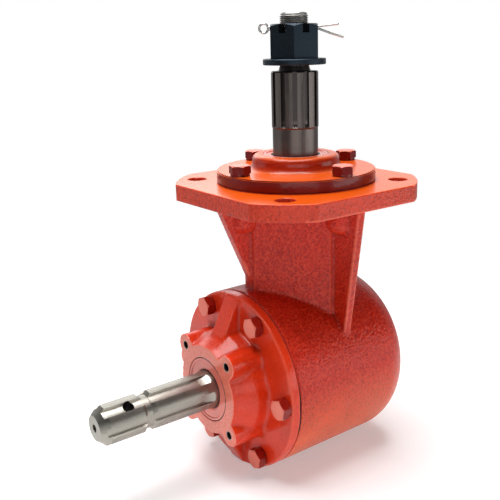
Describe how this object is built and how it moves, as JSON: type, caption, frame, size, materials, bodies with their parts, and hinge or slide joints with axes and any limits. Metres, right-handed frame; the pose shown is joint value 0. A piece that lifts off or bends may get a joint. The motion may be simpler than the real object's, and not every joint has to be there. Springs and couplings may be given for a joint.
{
  "type": "right angle gearbox",
  "caption": "Right-angle bevel gearbox for a rotary cutter: red cast-iron case with a square bolt-on flange, splined output shaft with slotted nut, splined input shaft",
  "frame": {"origin": "centre of the mounting flange's face, on the output-shaft axis", "axes": "+Z along the output shaft toward its threaded end, -Y along the input shaft toward its free end, as the gearbox stands in the picture (it works the other way up)"},
  "size_m": [0.1906, 0.3128, 0.409],
  "materials": {
    "cast_red": "red-orange enamel over rough sand-cast iron",
    "cap_red": "red-orange enamel over smooth cast or machined iron",
    "dark_shaft": "dark oiled steel with milled splines",
    "black_oxide": "blue-black oxide",
    "bright_steel": "bright turned and ground steel",
    "gear_steel": "case-hardened gear steel",
    "zinc": "zinc plated wire",
    "cage_brass": "pressed steel sheet",
    "seal_rubber": "oil seal with a rubber lip and a painted metal case",
    "gasket_paper": "oil-proof gasket paper"
  },
  "bodies": {
    "gear_case": {"housing": "cast_red", "output_cap": "cap_red", "output_cap_gasket": "gasket_paper", "output_cap_bolts": "cap_red", "output_cap_lock_washers": "cap_red", "output_seal": "seal_rubber", "upper_bearing_cup": "bright_steel", "lower_bearing_cup": "bright_steel", "input_cap": "cap_red", "input_cap_gasket": "gasket_paper", "input_cap_bolts": "cap_red", "input_cap_lock_washers": "cap_red", "input_seal": "seal_rubber", "front_bearing_cup": "bright_steel", "rear_bearing_cup": "bright_steel", "rear_bore_snap_ring": "bright_steel", "rear_bore_plug": "cast_red", "level_plug": "black_oxide", "fill_plug": "black_oxide"},
    "input_shaft_assembly": {"input_shaft": "bright_steel", "crown_gear": "gear_steel", "crown_snap_ring": "bright_steel", "front_bearing_cone": "bright_steel", "rear_bearing_cone": "bright_steel"},
    "output_shaft_assembly": {"output_shaft": "dark_shaft", "flat_washer": "black_oxide", "slotted_nut": "black_oxide", "cotter_pin": "zinc", "upper_bearing_cone": "bright_steel", "lower_bearing_cone": "bright_steel", "bearing_spacer": "bright_steel", "pinion": "gear_steel", "pinion_tab_washer": "bright_steel", "pinion_nut": "black_oxide"},
    "upper_roller_set": {"upper_bearing_rollers": "bright_steel", "upper_bearing_cage": "cage_brass"},
    "lower_roller_set": {"lower_bearing_rollers": "bright_steel", "lower_bearing_cage": "cage_brass"},
    "front_roller_set": {"front_bearing_rollers": "bright_steel", "front_bearing_cage": "cage_brass"},
    "rear_roller_set": {"rear_bearing_rollers": "bright_steel", "rear_bearing_cage": "cage_brass"}
  },
  "joints": [
    {"name": "input_spin", "type": "hinge", "parent": "gear_case", "child": "input_shaft_assembly", "pos_m": [0, -0.1, -0.1785], "axis": [0, -1, 0], "continuous": true},
    {"name": "output_spin", "type": "hinge", "parent": "gear_case", "child": "output_shaft_assembly", "pos_m": [0, 0, 0], "axis": [0, 0, 1], "continuous": true},
    {"name": "upper_roller_spin", "type": "hinge", "parent": "gear_case", "child": "upper_roller_set", "pos_m": [0, 0, -0.015], "axis": [0, 0, 1], "continuous": true},
    {"name": "lower_roller_spin", "type": "hinge", "parent": "gear_case", "child": "lower_roller_set", "pos_m": [0, 0, -0.107], "axis": [0, 0, 1], "continuous": true},
    {"name": "front_roller_spin", "type": "hinge", "parent": "gear_case", "child": "front_roller_set", "pos_m": [0, -0.0855, -0.1785], "axis": [0, -1, 0], "continuous": true},
    {"name": "rear_roller_spin", "type": "hinge", "parent": "gear_case", "child": "rear_roller_set", "pos_m": [0, 0.0595, -0.1785], "axis": [0, -1, 0], "continuous": true}
  ],
  "couplings": [
    {"joint": "output_spin", "follows": "input_spin", "ratio": 1.4667},
    {"joint": "upper_roller_spin", "follows": "input_spin", "ratio": 0.64632},
    {"joint": "lower_roller_spin", "follows": "input_spin", "ratio": 0.64632},
    {"joint": "front_roller_spin", "follows": "input_spin", "ratio": 0.42924},
    {"joint": "rear_roller_spin", "follows": "input_spin", "ratio": 0.42924}
  ]
}
